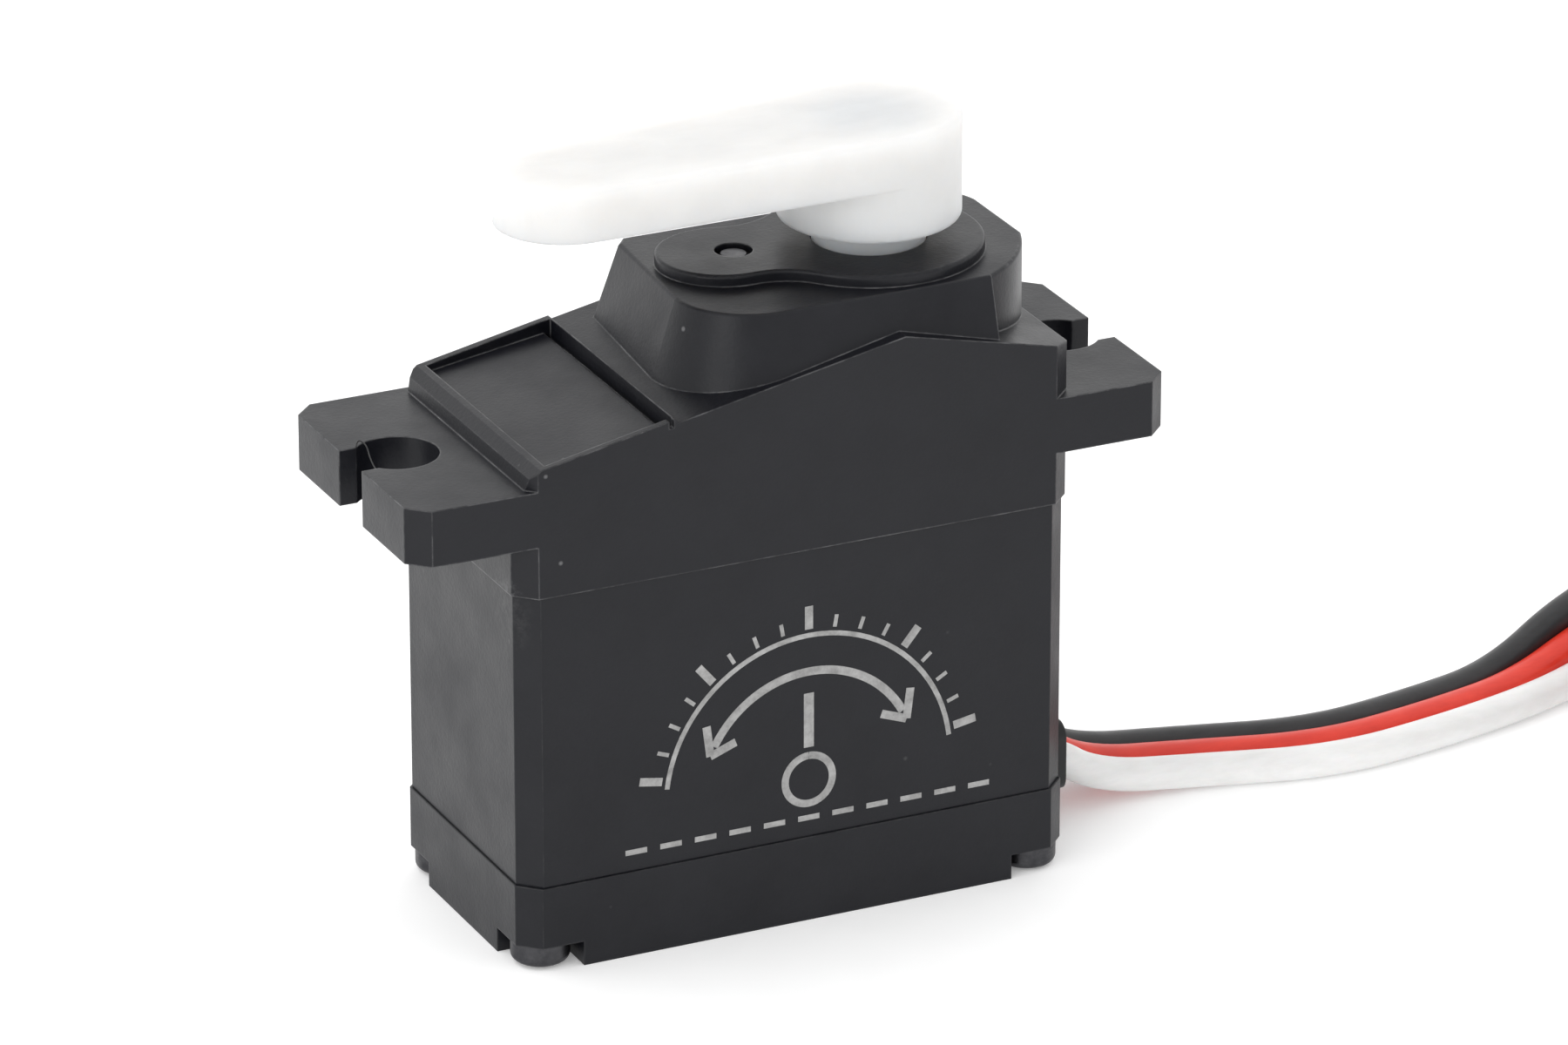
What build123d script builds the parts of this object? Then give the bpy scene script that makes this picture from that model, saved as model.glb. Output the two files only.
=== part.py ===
from build123d import *
from math import acos, atan2, cos, pi, radians, sin, tan
import os

# A micro servo motor: a three-piece case with two slotted mounting tabs, a sloped roof with a
# raised gear tower, a motor, a four-stage gear train, a position sensor, a control board, an
# output horn, and a three-conductor lead that ends in a plug. Millimetres, +Z up. X runs along
# the case towards the lead, and the origin is on the floor, midway between the tab ends.

# ---- driving dimensions ----
CASE_X0, CASE_X1 = -11.5, 11.7      # ends of the case body
HALF_WIDTH = 5.85                   # half the width of the case and of the tabs
CORNER = 0.8                        # chamfer on the upright corners
WALL = 0.8
MIDDLE_INSET, COVER_INSET = 0.1, 0.03   # how far the lower cases stand in from the upper one
COVER_TOP, MIDDLE_TOP = 3.5, 15.45  # the two seams
TAB_REACH, TAB_Z0, TAB_Z1 = 15.8, 17.55, 19.8
SLOT_X, SLOT_R, NECK_HALF = 13.9, 1.62, 1.1
TOWER_TOP, PAD_TOP = 24.86, 25.33
TOWER_X0, TOWER_X1, TOWER_HALF = -3.2, 8.6, 4.8
TOWER_CORNER, TOWER_DRAFT = 3.0, 17.5
TOWER_SKEW = 0.45                   # how far the tower's plain end leans in, from front to back
TOWER_EDGE_R = 0.14
NOSE_FLAT = (-1.1, 2.8)             # the stretch of the nose that is level with the case's end
NOSE_FRONT, NOSE_REAR = (10.5, -3.2), (11.1, 4.05)      # the middles of the nose's two arcs
NOSE_REAR_X = 9.9                   # where the rear arc starts
TOWER_SETBACK = 0.22                # of the tower's sides from the sides of the case
PAD_R, PAD_LOBE_R, PAD_LOBE = 4.45, 2.6, (-0.02, 0.8)
PAD_BLEND_R, PAD_EDGE_R = 2.6, 0.12
DECK_Z0 = 14.45                     # underside of the deck that closes the middle case

OUTPUT = (5.75, 0.0)                # axis of the output shaft and of the second gear
IDLER = (0.40, 0.73)                # axis of the first and third gears
MOTOR = (-4.55, 0.0)                # axis of the motor

FINE, MEDIUM, COARSE = 0.25, 0.30, 0.36     # gear modules
PINION, FIRST_LARGE, FIRST_SMALL = 10, 30, 10   # teeth, from the motor to the output
SECOND_LARGE, SECOND_SMALL = 26, 12
THIRD_LARGE, THIRD_SMALL, OUTPUT_TEETH = 24, 10, 20
FIT = 0.05                          # radial clearance of a running fit

JOURNAL_R, SHAFT_R = 2.2, 0.9       # output shaft in the tower, and below its gear
SPLINE_R, SPLINE_ROOT_R, SPLINE_TOP = 2.0, 1.82, 29.6
PIN_R, PIN_TOP = 0.5, 25.2          # idler pin
PIN_WELL_R, PIN_WELL_DEPTH = 0.74, 0.34     # open well in the pad about the pin's end

FLOOR = 1.0                         # inside floor of the cover
BOARD_Z0, BOARD_Z1 = 1.65, 2.45
SENSOR_Z0, SENSOR_Z1 = 10.9, 14.3
MOTOR_R, MOTOR_BOSS_R, MOTOR_SHAFT_R = 4.75, 1.75, 0.5
CAP_Z0, CAN_Z0, CAN_Z1 = 3.4, 4.4, 14.35
POLES = [90, 210, 330]              # directions of the motor's three poles

SCREW_XS, SCREW_Y = (-10.25, 10.45), 4.55
SCREW_R, SCREW_HEAD_R, SCREW_TOP = 0.55, 1.15, 18.5
FOOT_STEP = 1.0                     # how far the cover steps up at each corner

HORN_Z0, HORN_ARM_Z, HORN_TOP = 26.26, 28.40, 30.45
HORN_HUB_R, HORN_TIP_R, HORN_REACH = 3.56, 2.7, 13.1
HORN_ANGLE = 183.8                  # direction of the arm about the output axis, at rest

WIRE_R, WIRE_PITCH = 0.675, 1.38    # one conductor's insulation, and the distance between conductors
GROMMET_X = 12.45                   # outer face of the lead's grommet
WIRE_Z = 3.15                       # height of the conductors in the grommet

# ---- the lead ----
# Middle conductor, from inside the case to the coil, and how far the ribbon is turned on edge.
LEAD = [
    (9.9, 0.0, 3.15), (12.7, 0.0, 3.15), (15.1, 0.0, 1.35), (20.0, 0.1, 0.705), (25.2, -1.4, 0.705),
    (30.4, -0.65, 0.705), (35.2, 0.55, 0.705), (38.9, 1.72, 1.776), (42.14, 2.76, 2.36),
    (44.98, 3.74, 2.36),
]
LEAD_TWIST = [0, 0, 0, 0, 0, 0, 0, 45, 90, 90]
COIL = (49.2, -3.9)                 # centre of the coil
COIL_START_R, COIL_END_R = 8.6, 5.61
COIL_Z0, COIL_Z1 = 0.30, 4.44
TIE_BACK, TIE_WIDTH, TIE_THICK, TIE_FOOT, TIE_GAP = 3.5, 1.5, 0.25, 0.03, 0.02
TIE_COIL_FAR, TIE_COIL_NEAR = 8.95, 2.38
TIE_TWIST_R, TIE_TWIST_LENGTH, TIE_TWIST_Y, TIE_TWIST_Z = 0.4, 1.5, 2.35, 0.9
TAIL_R, TAIL_Z = 7.15, 5.15         # the ribbon lies flat on top of the coil on its way to the plug
PLUG_BACK, PLUG_LENGTH, PLUG_HALF, PLUG_Z0, PLUG_Z1 = -0.7, 14.0, 3.81, 4.5, 7.04


# ---- basic shapes ----
def block(x0, x1, y0, y1, z0, z1):
    centre = Pos((x0 + x1) / 2, (y0 + y1) / 2, (z0 + z1) / 2)
    return centre * Box(x1 - x0, y1 - y0, z1 - z0)


def rod(place, z0, z1, radius):
    return Pos(place[0], place[1], (z0 + z1) / 2) * Cylinder(radius, z1 - z0)


def ring(place, z0, z1, outer, inner):
    return rod(place, z0, z1, outer) - rod(place, z0 - 1, z1 + 1, inner)


def upright(points, z0, z1):
    """A plan outline, raised from z0 to z1."""
    face = make_face(Polyline(*points, close=True))
    return Pos(0, 0, z0) * extrude(face, amount=z1 - z0, dir=(0, 0, 1))


def crosswise(points, half_width):
    """An outline of (x, z) points, as wide as 2 half_width along Y."""
    face = Plane.XZ * make_face(Polyline(*points, close=True))
    return extrude(face, amount=half_width, both=True)


def plan(x0, x1, half_width, chamfer):
    """A rectangle with its corners cut off, as plan points."""
    return [
        (x0 + chamfer, -half_width), (x1 - chamfer, -half_width),
        (x1, -half_width + chamfer), (x1, half_width - chamfer),
        (x1 - chamfer, half_width), (x0 + chamfer, half_width),
        (x0, half_width - chamfer), (x0, -half_width + chamfer),
    ]


def at_corners(make):
    """The four pieces that make((x, y)) gives at the case screws."""
    return [make((x, y)) for x in SCREW_XS for y in (-SCREW_Y, SCREW_Y)]


def save(name, *solids):
    shape = solids[0] if len(solids) == 1 else Compound(children=list(solids))
    export_step(shape, f"parts/{name}.step")


# ---- gears ----
def direction(start, end):
    """The plan angle from one axis to another, in degrees."""
    return atan2(end[1] - start[1], end[0] - start[0]) * 180 / pi


def wheel(place, teeth, module, z0, z1, tooth_angle):
    """A spur wheel with one tooth centred on tooth_angle. Its flanks are involutes down to the
    base circle, and narrow towards the root below it."""
    pitch_r = teeth * module / 2
    base_r = pitch_r * cos(radians(20))
    tip_r, root_r = pitch_r + 0.8 * module, pitch_r - 1.2 * module
    half_at_pitch = 0.43 * pi / teeth
    involute = tan(radians(20)) - radians(20)

    def half_angle(r):
        if r <= base_r:
            narrowing = 0.45 * (base_r - r) / pitch_r
            return half_at_pitch + involute - narrowing
        pressure = acos(base_r / r)
        return half_at_pitch + involute - (tan(pressure) - pressure)

    radii = [root_r, max(base_r, root_r + 0.05 * module), pitch_r, (pitch_r + tip_r) / 2, tip_r]
    points = []
    for tooth in range(teeth):
        middle = radians(tooth_angle) + 2 * pi * tooth / teeth
        flank = [(r, half_angle(r)) for r in radii]
        for r, half in flank:
            points.append((r * cos(middle - half), r * sin(middle - half)))
        for r, half in reversed(flank):
            points.append((r * cos(middle + half), r * sin(middle + half)))
    return Pos(place[0], place[1], 0) * upright(points, z0, z1)


def gap_angle(teeth, towards):
    """The tooth angle that puts a gap between teeth in the direction towards."""
    return towards + 180 / teeth


def spline(z0, z1, outer, inner, teeth=21):
    points = []
    for k in range(2 * teeth):
        r = outer if k % 2 == 0 else inner
        points.append((r * cos(pi * k / teeth), r * sin(pi * k / teeth)))
    return Pos(OUTPUT[0], OUTPUT[1], 0) * upright(points, z0, z1)


# ---- the case ----
def tower_outline():
    """Seen from above: a wide arc at the front left, a near-square corner at the back left, and a
    blunt nose with a wider arc at the front than at the back."""
    left, dip = TOWER_X0 + TOWER_CORNER, TOWER_CORNER * (1 - cos(pi / 4))
    front, back = -TOWER_HALF, TOWER_HALF
    plain_end = [
        (TOWER_X0, front + TOWER_CORNER), (TOWER_X0 + TOWER_SKEW, back - 0.5),
        (TOWER_X0 + TOWER_SKEW + 0.4, back), (NOSE_REAR_X, back),
    ]
    return make_face([
        Polyline(*plain_end),
        ThreePointArc(plain_end[-1], NOSE_REAR, (CASE_X1, NOSE_FLAT[1])),
        Line((CASE_X1, NOSE_FLAT[1]), (CASE_X1, NOSE_FLAT[0])),
        ThreePointArc((CASE_X1, NOSE_FLAT[0]), NOSE_FRONT, (TOWER_X1, front)),
        Line((TOWER_X1, front), (left, front)),
        ThreePointArc((left, front), (TOWER_X0 + dip, front + dip), plain_end[0]),
    ])


def tower_solid(draft):
    """The tower's outline carried down from its top, with the top edge rounded."""
    top = Pos(0, 0, TOWER_TOP) * tower_outline()
    solid = extrude(top, amount=TOWER_TOP - MIDDLE_TOP - 5, dir=(0, 0, -1), taper=-draft)
    rim = solid.edges().filter_by(lambda e: e.bounding_box().min.Z > TOWER_TOP - 0.01)
    return fillet(rim, TOWER_EDGE_R)


def tower():
    """The raised housing over the gears. Its walls slope, apart from the upright nose beyond
    TOWER_X1."""
    half = HALF_WIDTH - TOWER_SETBACK
    walls = tower_solid(TOWER_DRAFT) & block(CASE_X0, TOWER_X1, -half, half, 0, 40)
    return walls + (tower_solid(0) & block(TOWER_X1, CASE_X1, -half, half, 0, 40))


def pad_outline():
    """A disc about the output and a lobe about the idler pin, joined by a hollow arc each side."""
    disc, lobe = Vector(*OUTPUT), Vector(*PAD_LOBE)
    span = (disc - lobe).length
    to_disc, to_lobe = PAD_R + PAD_BLEND_R, PAD_LOBE_R + PAD_BLEND_R
    along = (span**2 + to_lobe**2 - to_disc**2) / (2 * span)
    aside = (to_lobe**2 - along**2) ** 0.5
    forward = (disc - lobe).normalized()
    left = Vector(-forward.Y, forward.X)
    hollows = [lobe + forward * along + left * side * aside for side in (1, -1)]
    on_disc = [disc + (hollow - disc).normalized() * PAD_R for hollow in hollows]
    on_lobe = [lobe + (hollow - lobe).normalized() * PAD_LOBE_R for hollow in hollows]
    nearest = [hollow + (lobe + forward * along - hollow).normalized() * PAD_BLEND_R for hollow in hollows]
    return make_face([
        ThreePointArc(on_disc[0], disc + forward * PAD_R, on_disc[1]),
        ThreePointArc(on_disc[1], nearest[1], on_lobe[1]),
        ThreePointArc(on_lobe[1], lobe - forward * PAD_LOBE_R, on_lobe[0]),
        ThreePointArc(on_lobe[0], nearest[0], on_disc[0]),
    ])


def pad():
    """The low boss on the tower."""
    z0 = TOWER_TOP - 0.2
    boss = Pos(0, 0, z0) * extrude(pad_outline(), amount=PAD_TOP - z0, dir=(0, 0, 1))
    rim = boss.edges().filter_by(lambda e: e.bounding_box().min.Z > PAD_TOP - 0.01)
    return fillet(rim, PAD_EDGE_R)


def upper_case():
    roof = [
        (CASE_X0, MIDDLE_TOP), (CASE_X0, TAB_Z1), (-11.1, TAB_Z1), (-10.95, 20.3), (-10.55, 20.65),
        (-5.05, 21.75), (-4.95, 21.6), (4.5, 23.45), (CASE_X1, 21.78), (CASE_X1, MIDDLE_TOP),
    ]
    shell = crosswise(roof, HALF_WIDTH + 1)
    shell &= upright(plan(CASE_X0, CASE_X1, HALF_WIDTH, CORNER), 0, 40)
    shell += upright(plan(-TAB_REACH, TAB_REACH, HALF_WIDTH, CORNER), TAB_Z0, TAB_Z1)
    shell += tower()
    shell += pad()

    rim = HALF_WIDTH - 0.3
    shell -= crosswise([(-10.3, 20.4), (-5.35, 21.17), (-5.35, 23), (-10.3, 23)], rim)
    shell -= crosswise([(-5.36, 20.9), (-5.08, 20.9), (-5.08, 23), (-5.36, 23)], rim)
    shell -= block(-5.32, -5.12, -HALF_WIDTH - 1, -rim, 21.4, 23)

    x0, x1, half = CASE_X0 + WALL, CASE_X1 - WALL, HALF_WIDTH - WALL
    inside = [
        (x0, MIDDLE_TOP - 1), (x0, 19.2), (-5.0, 20.0), (-3.4, 20.4), (4.5, 22.3), (x1, 20.9),
        (x1, MIDDLE_TOP - 1),
    ]
    hollow = crosswise(inside, half)
    hollow += block(TOWER_X0 + 1.2, TOWER_X1 - 0.6, -3.9, 3.9, 20, TOWER_TOP - 0.9)
    hollow += rod(OUTPUT, 20, TOWER_TOP - 0.9, 4.5)
    for post in at_corners(lambda place: rod(place, MIDDLE_TOP, 20, 1.35)):
        hollow -= post
    shell -= hollow

    for x, side in ((-SLOT_X, -1), (SLOT_X, 1)):
        shell -= rod((x, 0), TAB_Z0 - 1, TAB_Z1 + 1, SLOT_R)
        ends = sorted((x, side * (TAB_REACH + 1)))
        shell -= block(ends[0], ends[1], -NECK_HALF, NECK_HALF, TAB_Z0 - 1, TAB_Z1 + 1)
    for hole in at_corners(lambda place: rod(place, MIDDLE_TOP - 1, SCREW_TOP, SCREW_R)):
        shell -= hole
    shell -= rod(OUTPUT, 20, 30, JOURNAL_R + FIT)
    shell -= rod(IDLER, 20, PIN_TOP, PIN_R)
    shell -= rod(IDLER, PAD_TOP - PIN_WELL_DEPTH, 30, PIN_WELL_R)
    return shell


def grommet_gap():
    """The opening in the end wall, half in the cover and half in the middle case."""
    return block(CASE_X1 - WALL - 0.3, CASE_X1 + 1, -2.25, 2.25, 2.3, 4.0)


def middle_case():
    x0, x1 = CASE_X0 + MIDDLE_INSET, CASE_X1 - MIDDLE_INSET
    half = HALF_WIDTH - MIDDLE_INSET
    shell = upright(plan(x0, x1, half, CORNER), COVER_TOP, MIDDLE_TOP)
    hollow = block(x0 + WALL, x1 - WALL, -half + WALL, half - WALL, 0, DECK_Z0)
    for post in at_corners(lambda place: rod(place, COVER_TOP, DECK_Z0, 1.35)):
        hollow -= post
    shell -= hollow
    shell += block(0.55, 1.05, -half + 0.2, half - 0.2, 5.2, DECK_Z0 + 0.2)
    shell -= rod(MOTOR, DECK_Z0 - 0.5, MIDDLE_TOP + 1, MOTOR_BOSS_R + FIT)
    shell -= rod(OUTPUT, DECK_Z0 - 0.5, MIDDLE_TOP + 1, SHAFT_R + FIT)
    shell -= rod(IDLER, DECK_Z0 + 0.2, MIDDLE_TOP + 1, PIN_R)
    for hole in at_corners(lambda place: rod(place, 0, 30, SCREW_R + FIT)):
        shell -= hole
    return shell - grommet_gap()


def bottom_cover():
    x0, x1 = CASE_X0 + COVER_INSET, CASE_X1 - COVER_INSET
    half = HALF_WIDTH - COVER_INSET
    tray = upright(plan(x0, x1, half, CORNER), 0, COVER_TOP)
    hollow = block(x0 + WALL, x1 - WALL, -half + WALL, half - WALL, FLOOR, COVER_TOP + 1)
    for post in at_corners(lambda place: rod(place, 0, COVER_TOP, 1.35)):
        hollow -= post
    tray -= hollow
    for x, y in ((-7.5, -4.0), (-7.5, 4.0), (7.0, -4.0), (7.0, 4.0)):
        tray += rod((x, y), FLOOR - 0.1, BOARD_Z0, 0.5)

    def pocket(place):
        x, y = place
        out_x, out_y = (20 if x > 0 else -20), (10 if y > 0 else -10)
        xs, ys = sorted((x, out_x)), sorted((y, out_y))
        reach = SCREW_HEAD_R + 0.12
        opening = rod(place, -1, FOOT_STEP, reach)
        opening += block(xs[0], xs[1], min(y - reach, out_y), max(y + reach, out_y), -1, FOOT_STEP)
        opening += block(min(x - reach, out_x), max(x + reach, out_x), ys[0], ys[1], -1, FOOT_STEP)
        return opening

    for opening in at_corners(pocket):
        tray -= opening
    for hole in at_corners(lambda place: rod(place, -1, 5, SCREW_R + FIT)):
        tray -= hole
    return tray - grommet_gap()


def case_screw(place):
    head = rod(place, 0.08, FOOT_STEP, SCREW_HEAD_R)
    low_edge = head.edges().group_by(Axis.Z)[0]
    head = fillet(low_edge, 0.3)
    x, y = place
    head -= block(x - 0.7, x + 0.7, y - 0.14, y + 0.14, -1, 0.5)
    head -= block(x - 0.14, x + 0.14, y - 0.7, y + 0.7, -1, 0.5)
    return head + rod(place, FOOT_STEP, SCREW_TOP - 0.1, SCREW_R)


# ---- output, gears and horn ----
def d_shaft(z0, z1, radius, growth=0.0):
    """The flatted end of the output shaft that turns the sensor."""
    x, y = OUTPUT
    flat = block(x - 3, x + 0.55 * radius + growth, y - 3, y + 3, z0, z1)
    return rod(OUTPUT, z0, z1, radius + growth) & flat


def output_gear():
    towards = direction(OUTPUT, IDLER)
    body = wheel(OUTPUT, OUTPUT_TEETH, COARSE, 19.75, 21.75, gap_angle(OUTPUT_TEETH, towards))
    body += rod(OUTPUT, 21.75, HORN_Z0, JOURNAL_R)
    body += spline(HORN_Z0, SPLINE_TOP, SPLINE_R, SPLINE_ROOT_R)
    body += rod(OUTPUT, DECK_Z0 - 0.3, 19.75, SHAFT_R)
    body += d_shaft(12.0, DECK_Z0 - 0.3, SHAFT_R)
    return body - rod(OUTPUT, SPLINE_TOP - 5, SPLINE_TOP + 1, 0.6)


def gear_1():
    towards_motor, towards_output = direction(IDLER, MOTOR), direction(IDLER, OUTPUT)
    body = wheel(IDLER, FIRST_LARGE, FINE, 15.65, 16.65, gap_angle(FIRST_LARGE, towards_motor))
    body += wheel(IDLER, FIRST_SMALL, MEDIUM, 16.65, 18.1, towards_output)
    return body - rod(IDLER, 15, 19, PIN_R + FIT)


def gear_2():
    towards = direction(OUTPUT, IDLER)
    body = wheel(OUTPUT, SECOND_LARGE, MEDIUM, 16.95, 17.95, gap_angle(SECOND_LARGE, towards))
    body += wheel(OUTPUT, SECOND_SMALL, MEDIUM, 17.95, 19.5, towards)
    return body - rod(OUTPUT, 16, 20, SHAFT_R + FIT)


def gear_3():
    towards = direction(IDLER, OUTPUT)
    body = wheel(IDLER, THIRD_LARGE, MEDIUM, 18.4, 19.4, gap_angle(THIRD_LARGE, towards))
    body += wheel(IDLER, THIRD_SMALL, COARSE, 19.4, 21.95, towards)
    body += rod(IDLER, 21.95, 23.8, 1.0)
    return body - rod(IDLER, 18, 24, PIN_R + FIT)


def servo_horn():
    """The single-arm horn: a round hub with a splined socket, and a flat tapering arm."""
    step = radians(HORN_ANGLE)
    tip = (OUTPUT[0] + HORN_REACH * cos(step), OUTPUT[1] + HORN_REACH * sin(step))
    lean = acos((HORN_HUB_R - HORN_TIP_R) / HORN_REACH)
    sides = [step - lean, step + lean]
    corners = [(OUTPUT[0] + HORN_HUB_R * cos(a), OUTPUT[1] + HORN_HUB_R * sin(a)) for a in sides]
    corners += [(tip[0] + HORN_TIP_R * cos(a), tip[1] + HORN_TIP_R * sin(a)) for a in reversed(sides)]
    arm = upright(corners, HORN_ARM_Z, HORN_TOP) + rod(tip, HORN_ARM_Z, HORN_TOP, HORN_TIP_R)
    horn = rod(OUTPUT, HORN_Z0, HORN_TOP, HORN_HUB_R) + arm
    rim = horn.edges().filter_by(lambda e: e.bounding_box().min.Z > HORN_TOP - 0.01)
    horn = fillet(rim, 0.25)
    foot = horn.edges().filter_by(lambda e: e.bounding_box().max.Z < HORN_Z0 + 0.01)
    horn = fillet(foot, 0.2)
    horn -= spline(HORN_Z0 - 1, SPLINE_TOP, SPLINE_R, SPLINE_ROOT_R)
    return horn


# ---- the motor ----
def motor_can():
    can = rod(MOTOR, CAN_Z0, CAN_Z1, MOTOR_R) + rod(MOTOR, CAN_Z1, 15.25, MOTOR_BOSS_R)
    can -= rod(MOTOR, CAN_Z0 - 1, CAN_Z1 - 0.4, MOTOR_R - 0.4)
    return can - rod(MOTOR, 13, 16, MOTOR_SHAFT_R + FIT)


def motor_end_cap():
    cap = rod(MOTOR, CAP_Z0, CAN_Z0, MOTOR_R) + rod(MOTOR, CAN_Z0, 5.0, MOTOR_R - 0.4)
    cap -= rod(MOTOR, 4.0, 6, 2.6)
    cap -= rod(MOTOR, 3, 6, MOTOR_SHAFT_R + FIT)
    for y in (-2.1, 2.1):
        cap -= block(MOTOR[0] - 0.5, MOTOR[0] + 0.5, y - 0.15, y + 0.15, 3, 4.5)
    return cap


def motor_magnet(angle):
    """One of the two arc magnets that line the can."""
    half_ring = ring(MOTOR, 6.4, 13.4, MOTOR_R - 0.4, 3.35)
    keep = Pos(*MOTOR, 0) * Rot(0, 0, angle) * block(0.9, 10, -10, 10, 0, 20)
    return half_ring & keep


def motor_pole(angle):
    pole = block(0, 2.3, -0.45, 0.45, 7.0, 12.8)
    shoe = ring((0, 0), 7.0, 12.8, 3.05, 2.3) & block(0, 5, -2.0, 2.0, 0, 20)
    return Pos(*MOTOR, 0) * Rot(0, 0, angle) * (pole + shoe)


def motor_armature():
    core = rod(MOTOR, 7.0, 12.8, 1.0)
    for angle in POLES:
        core += motor_pole(angle)
    return core - rod(MOTOR, 6, 14, MOTOR_SHAFT_R)


def motor_winding(angle):
    coil = block(1.15, 2.0, -1.0, 1.0, 6.5, 13.3) - block(0, 3, -0.5, 0.5, 6.95, 12.85)
    return Pos(*MOTOR, 0) * Rot(0, 0, angle) * coil


def motor_commutator():
    drum = ring(MOTOR, 5.1, 6.4, 1.1, MOTOR_SHAFT_R)
    for angle in POLES:
        drum -= Pos(*MOTOR, 0) * Rot(0, 0, angle) * block(0.8, 2, -0.06, 0.06, 5, 7)
    return drum


def motor_brush(side):
    """A spring leaf beside the commutator."""
    x, y = MOTOR
    ys = sorted((y + side * 1.18, y + side * 1.33))
    leaf = block(x - 1.2, x + 1.2, ys[0], ys[1], 5.3, 6.2)
    foot = sorted((y + side * 1.18, y + side * 2.1))
    return leaf + block(x - 1.2, x - 0.9, foot[0], foot[1], 5.05, 6.2)


def motor_terminal(side):
    """A tab from the end cap down to the board."""
    x, y = MOTOR
    return block(x - 0.45, x + 0.45, y + side * 2.1 - 0.15, y + side * 2.1 + 0.15, BOARD_Z1, 4.4)


def motor_pinion():
    angle = direction(MOTOR, IDLER)
    return wheel(MOTOR, PINION, FINE, 15.7, 17.0, angle) - rod(MOTOR, 15, 18, MOTOR_SHAFT_R)


# ---- position sensor ----
def sensor_body():
    body = rod(OUTPUT, SENSOR_Z0, SENSOR_Z1, 4.2)
    body -= rod(OUTPUT, 11.5, 13.9, 3.6)
    return body - rod(OUTPUT, 13, 15, 1.3)


def sensor_track():
    x, y = OUTPUT
    return ring(OUTPUT, 11.5, 11.65, 3.3, 2.2) - block(x + 1, x + 4, y - 0.5, y + 0.5, 11, 12)


def sensor_rotor():
    disc = rod(OUTPUT, 12.05, 12.9, 3.1) + rod(OUTPUT, 12.9, 13.8, 1.5)
    return disc - d_shaft(12.0, 14.0, SHAFT_R)


def sensor_wiper():
    """The sprung contact under the rotor that runs over the track."""
    x, y = OUTPUT
    return block(x - 3.0, x - 2.3, y - 0.8, y + 0.8, 11.75, 12.05)


def sensor_wire(y):
    x = OUTPUT[0] - 1.2
    line = [(x, y, SENSOR_Z0), (x, y, 8.2), (x + 0.8, y * 0.8, 5.6), (x + 0.9, y * 0.8, BOARD_Z1)]
    return tube(line, 0.35, "sensor wire")


# ---- control board ----
def circuit_board():
    board = block(-8.7, 9.0, -4.7, 4.7, BOARD_Z0, BOARD_Z1)
    return board - block(8.0, 9.5, -0.4, 0.4, 1, 3)


def chip(x, y, length, width, height, legs):
    body = block(x - length / 2, x + length / 2, y - width / 2, y + width / 2,
                 BOARD_Z1 + 0.08, BOARD_Z1 + height)
    for k in range(legs):
        leg = x + (k - (legs - 1) / 2) * length / legs
        body += block(leg - 0.15, leg + 0.15, y - width / 2 - 0.45, y + width / 2 + 0.45,
                      BOARD_Z1, BOARD_Z1 + 0.2)
    return body


def capacitor(place):
    x, y = place
    return block(x - 0.8, x + 0.8, y - 0.4, y + 0.4, BOARD_Z1, BOARD_Z1 + 0.75)


def solder_joint(y):
    """A stripped conductor end and the solder that holds it to the board."""
    core = Rot(0, 90, 0) * Cylinder(0.28, 1.5)
    mound = Pos(8.75, y, BOARD_Z1) * Sphere(0.62)
    mound &= block(0, 20, y - 0.6, y + 0.6, BOARD_Z1, 5)
    drop = block(8.55, 8.95, y - 0.2, y + 0.2, BOARD_Z1, WIRE_Z)
    return Pos(9.15, y, WIRE_Z) * core + mound + drop


# ---- the lead ----
def bend_radii(route):
    """The largest fair radius at each corner: 0.45 of its shorter run over the half turn's tangent."""
    points = [Vector(*point) for point in route]
    radii = []
    for before, corner, after in zip(points, points[1:], points[2:]):
        run_in, run_out = corner - before, after - corner
        half_turn = radians(run_in.get_angle(run_out)) / 2
        radii.append(0.45 * min(run_in.length, run_out.length) / tan(half_turn))
    return radii


def tube(route, radius, name):
    radii = bend_radii(route)
    path = FilletPolyline(*route, radius=radii)
    section = Plane(origin=path @ 0, z_dir=path % 0) * Circle(radius)
    solid = sweep(section, path=path)
    print(f"{name}: length {path.length:.1f}, radii", [round(r, 1) for r in radii],
          f"volume ratio {solid.volume / (pi * radius**2 * path.length):.4f}")
    return solid


def beside(route, twists, side):
    """The route of the conductor on one side (-1, 0 or 1) of the middle one. A twist of 0 has the
    ribbon flat, and a twist of 90 has it on edge with the +1 side up."""
    moved = []
    last = len(route) - 1
    for i, (x, y, z) in enumerate(route):
        a, b = route[max(i - 1, 0)], route[min(i, last - 1)]
        c, d = route[max(i, 1)], route[min(i + 1, last)]
        into = atan2(c[1] - a[1], c[0] - a[0]) if i > 0 else atan2(d[1] - y, d[0] - x)
        away = atan2(d[1] - b[1], d[0] - b[0]) if i < last else into
        heading, half = (into + away) / 2, (away - into) / 2
        across = side * WIRE_PITCH * cos(radians(twists[i])) / cos(half)
        up = side * WIRE_PITCH * sin(radians(twists[i]))
        moved.append((x - across * sin(heading), y + across * cos(heading), z + up))
    return moved


def tail_route(side):
    """One conductor from the coil's top to the plug, a quarter turn clockwise."""
    r = TAIL_R + side * WIRE_PITCH
    x, y = COIL
    corner_r = r / cos(radians(15))
    route = [(x + r, y + 1.9, TAIL_Z)]
    for angle, rise in ((-15, 0.0), (-45, 0.3), (-75, 0.62)):
        a = radians(angle)
        route.append((x + corner_r * cos(a), y + corner_r * sin(a), TAIL_Z + rise))
    return route + [(x + PLUG_BACK, y - r, TAIL_Z + 0.62)]


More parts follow.
